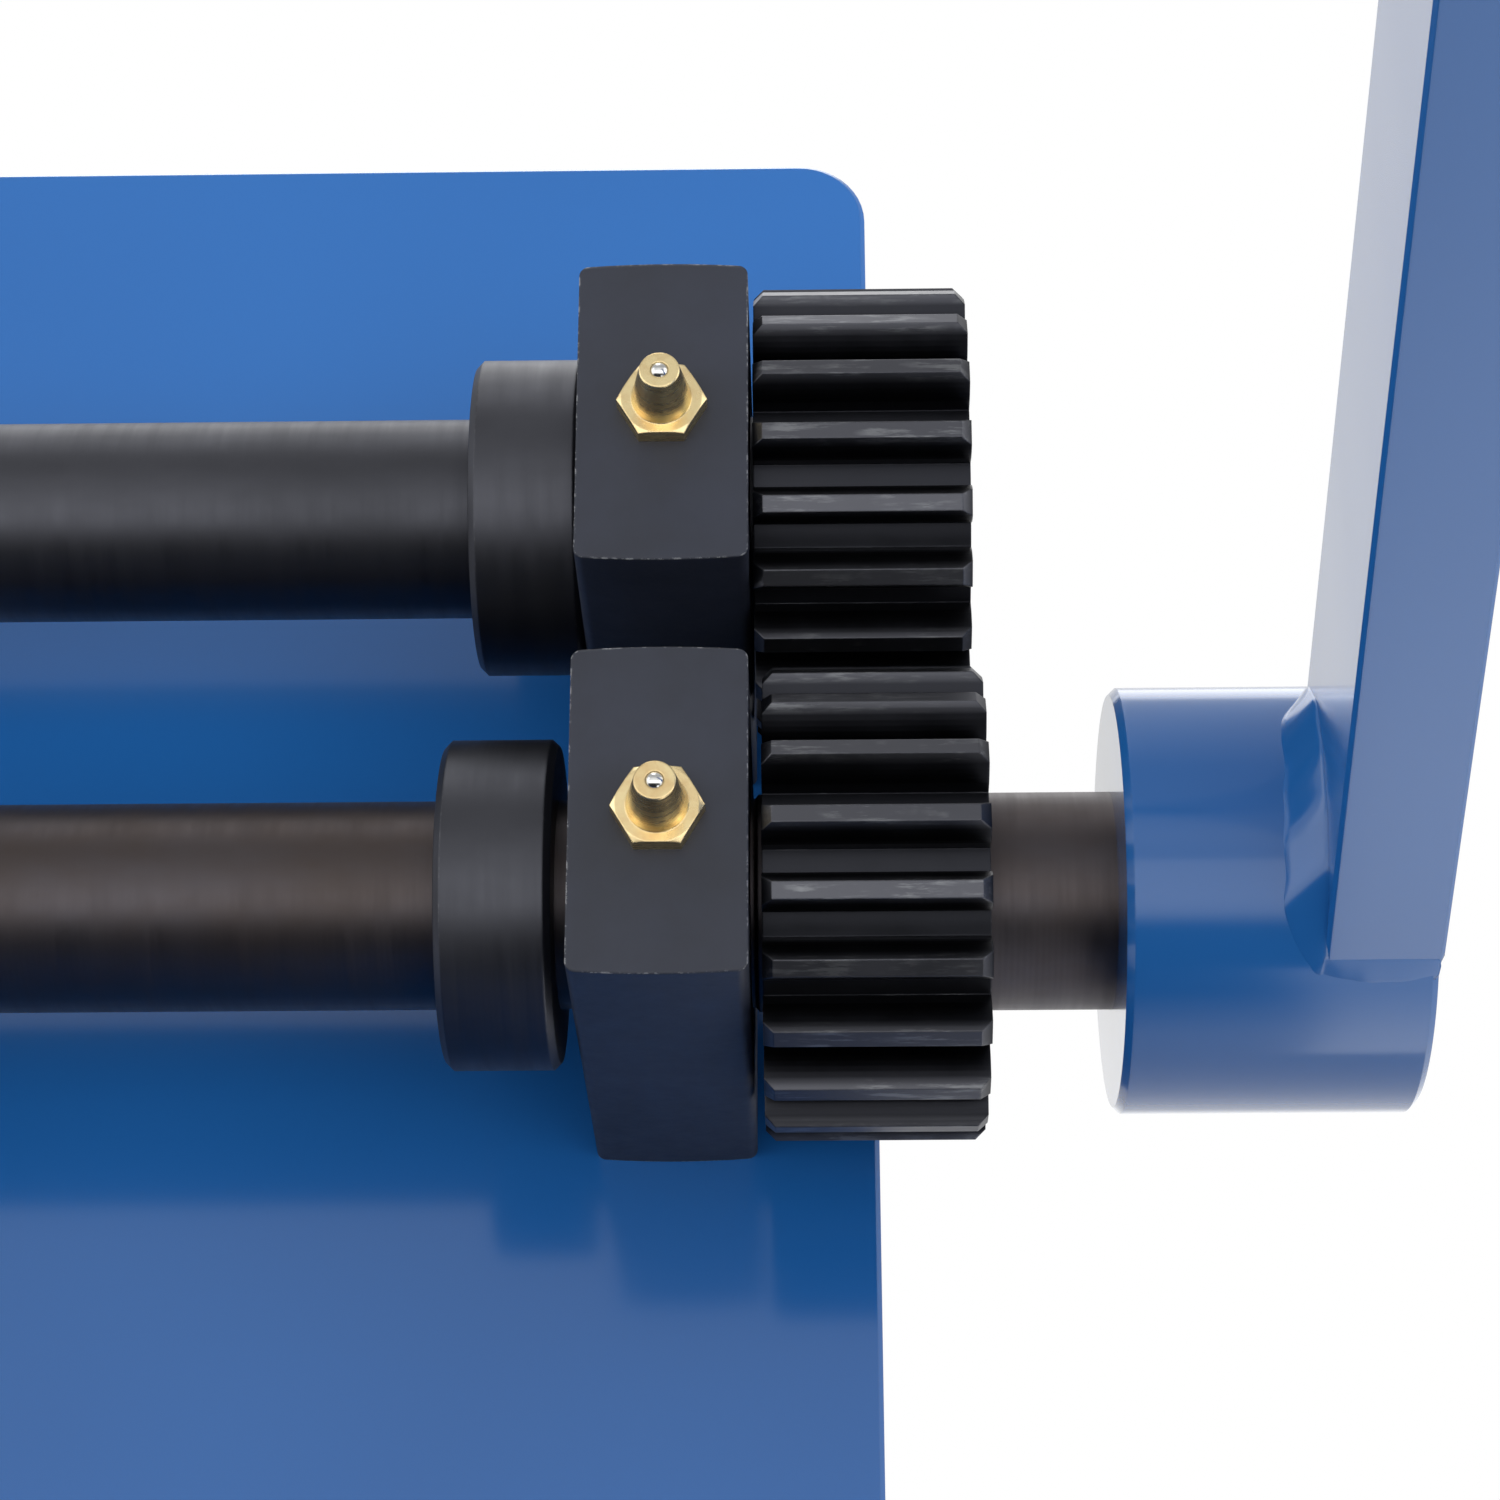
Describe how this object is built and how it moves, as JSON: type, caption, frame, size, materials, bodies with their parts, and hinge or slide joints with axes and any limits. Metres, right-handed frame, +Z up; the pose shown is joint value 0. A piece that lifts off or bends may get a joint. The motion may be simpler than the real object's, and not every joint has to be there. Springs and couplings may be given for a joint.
{
  "type": "bead roller",
  "caption": "Hand-cranked bead roller: two geared roll shafts in bearing blocks on a deep-throated C-frame, with beading rolls, a roll-gap screw and a bench base.",
  "frame": {"origin": "middle of the bench bolt pattern, on the underside of the base plate", "axes": "+X along the shafts from the rolls towards the crank, -Y towards the operator's side of the frame plate, +Z up"},
  "size_m": [0.7919, 0.3423, 0.428],
  "materials": {
    "blue_paint": "thick gloss enamel, royal blue",
    "block_paint": "dark satin charcoal-blue paint",
    "black_oxide": "turned and blackened steel, satin with oil sheen",
    "gear_steel": "milled and blackened gear steel, satin",
    "brass": "turned yellow brass",
    "bronze": "oiled bearing bronze",
    "bright_steel": "polished hardened ball",
    "zinc_fasteners": "zinc-plated steel",
    "key_steel": "cold-drawn bright steel",
    "roll_steel": "ground tool steel, polished on the working faces",
    "grip_plastic": "black phenolic grip, semi-gloss",
    "cap_plastic": "black phenolic cap, semi-gloss"
  },
  "bodies": {
    "frame": {"frame_plate": "blue_paint", "base_plate": "blue_paint", "base_gussets": "blue_paint", "lower_rear_block": "block_paint", "lower_front_block": "block_paint", "lower_bushes": "bronze", "lower_nipples": "brass", "lower_nipple_balls": "bright_steel", "lower_block_bolts": "zinc_fasteners", "front_guides": "black_oxide", "guide_bolts": "zinc_fasteners", "screw_bracket": "blue_paint", "bracket_bolts": "zinc_fasteners"},
    "crank": {"lower_shaft": "black_oxide", "lower_gear": "gear_steel", "lower_collar": "black_oxide", "lower_shaft_keys": "key_steel", "lower_grub_screws": "black_oxide", "lower_roll": "roll_steel", "lower_roll_washer": "zinc_fasteners", "lower_roll_nut": "zinc_fasteners", "crank_hub": "blue_paint", "crank_arm": "blue_paint", "crank_weld": "blue_paint", "grip_spindle": "zinc_fasteners", "grip_nut": "zinc_fasteners", "grip_washer": "zinc_fasteners"},
    "grip": {"grip_sleeve": "grip_plastic"},
    "rocker": {"upper_rear_block": "block_paint", "upper_front_block": "block_paint", "upper_bushes": "bronze", "upper_nipples": "brass", "upper_nipple_balls": "bright_steel", "upper_pivot_bolt": "zinc_fasteners", "keeper_plate": "black_oxide", "keeper_screws": "black_oxide"},
    "upper_rotor": {"upper_shaft": "black_oxide", "upper_gear": "gear_steel", "upper_collar": "black_oxide", "upper_shaft_keys": "key_steel", "upper_grub_screws": "black_oxide", "upper_roll": "roll_steel", "upper_roll_washer": "zinc_fasteners", "upper_roll_nut": "zinc_fasteners"},
    "pad": {"swivel_pad": "black_oxide", "pad_pin": "key_steel"},
    "screw": {"adjusting_screw": "black_oxide"},
    "bar": {"tommy_bar": "zinc_fasteners", "tommy_bar_caps": "cap_plastic"}
  },
  "joints": [
    {"name": "crank_spin", "type": "hinge", "parent": "frame", "child": "crank", "pos_m": [0.15, -0.03, 0.265], "axis": [1, 0, 0], "continuous": true},
    {"name": "upper_spin", "type": "hinge", "parent": "rocker", "child": "upper_rotor", "pos_m": [0.15, -0.03, 0.3155], "axis": [1, 0, 0], "continuous": true},
    {"name": "grip_spin", "type": "hinge", "parent": "crank", "child": "grip", "pos_m": [0.28, -0.22718, 0.35107], "axis": [1, 0, 0], "continuous": true},
    {"name": "screw_travel", "type": "slide", "parent": "frame", "child": "pad", "axis": [0, 0, 1], "range_m": [-0.0008, 0.006]},
    {"name": "rocker_tilt", "type": "hinge", "parent": "frame", "child": "rocker", "pos_m": [0.15, -0.03, 0.31525], "axis": [0, 1, 0], "range_deg": [-0.0913, 0.6812]},
    {"name": "screw_turn", "type": "hinge", "parent": "pad", "child": "screw", "pos_m": [-0.355, -0.03, 0.36], "axis": [0, 0, 1], "range_deg": [-144.1, 1080.1]},
    {"name": "bar_slide", "type": "slide", "parent": "screw", "child": "bar", "axis": [0, 1, 0], "range_m": [-0.042, 0.042]}
  ],
  "couplings": [
    {"joint": "upper_spin", "follows": "crank_spin", "ratio": -1},
    {"joint": "rocker_tilt", "follows": "screw_travel", "rad_per_m": 1.9802},
    {"joint": "screw_turn", "follows": "screw_travel", "rad_per_m": 3141.6}
  ]
}
